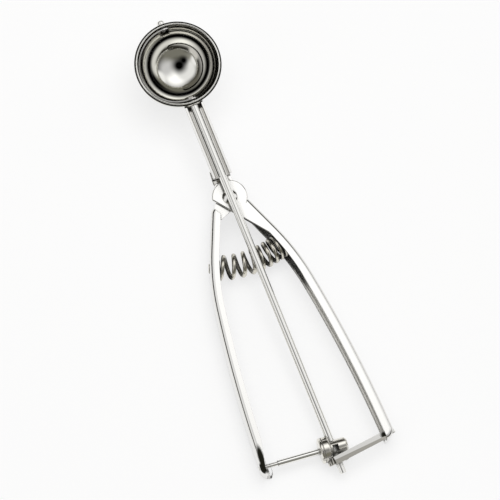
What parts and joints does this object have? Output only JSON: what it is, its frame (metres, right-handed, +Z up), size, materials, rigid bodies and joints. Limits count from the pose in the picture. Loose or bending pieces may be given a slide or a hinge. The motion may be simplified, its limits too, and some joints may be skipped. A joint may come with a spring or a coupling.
{
  "type": "lever ice cream scoop",
  "caption": "Steel ice cream scoop: a round bowl with a sweeper strip, turned by a rod, rack and pinion when the two channel handles are squeezed.",
  "frame": {"origin": "on the resting plane, under the middle of the scoop's length and width", "axes": "+Y from the handles to the bowl, +X to the squeezed handle, +Z up, out of the bowl's mouth"},
  "size_m": [0.0628, 0.2227, 0.0297],
  "materials": {
    "polished_stainless": "mirror polished",
    "satin_stainless": "turned, satin",
    "sweeper_strip": "rolled strip, polished",
    "spring_wire": "drawn wire, bright"
  },
  "bodies": {
    "frame": {"bowl": "polished_stainless", "neck": "polished_stainless", "rod_bush": "satin_stainless", "tip_pin": "polished_stainless", "left_handle": "polished_stainless", "pivot_rivet": "polished_stainless", "pivot_washer": "satin_stainless", "left_spring_seat": "satin_stainless", "spring": "spring_wire", "stay_bar": "polished_stainless", "yoke": "satin_stainless", "guide_disc": "satin_stainless"},
    "squeeze_handle": {"right_handle": "polished_stainless", "rack": "polished_stainless", "right_spring_seat": "satin_stainless"},
    "drive": {"drive_rod": "polished_stainless", "pinion": "satin_stainless", "pinion_pin": "satin_stainless", "thrust_washer": "satin_stainless", "sweeper": "sweeper_strip", "sweeper_nut": "satin_stainless"}
  },
  "joints": [
    {"name": "handle_hinge", "type": "hinge", "parent": "frame", "child": "squeeze_handle", "pos_m": [0.00342, 0.02465, 0.00725], "axis": [0, 0, -1], "range_deg": [0, 5], "stiffness_Nm_per_rad": 7.6, "springref_deg": -5.73, "deforming": ["spring"]},
    {"name": "rod_turn", "type": "hinge", "parent": "frame", "child": "drive", "pos_m": [0.00342, 0.08895, 0.02411], "axis": [0, -0.9958, -0.0916], "range_deg": [0, 162]}
  ],
  "couplings": [
    {"joint": "rod_turn", "follows": "handle_hinge", "ratio": 32.35}
  ]
}
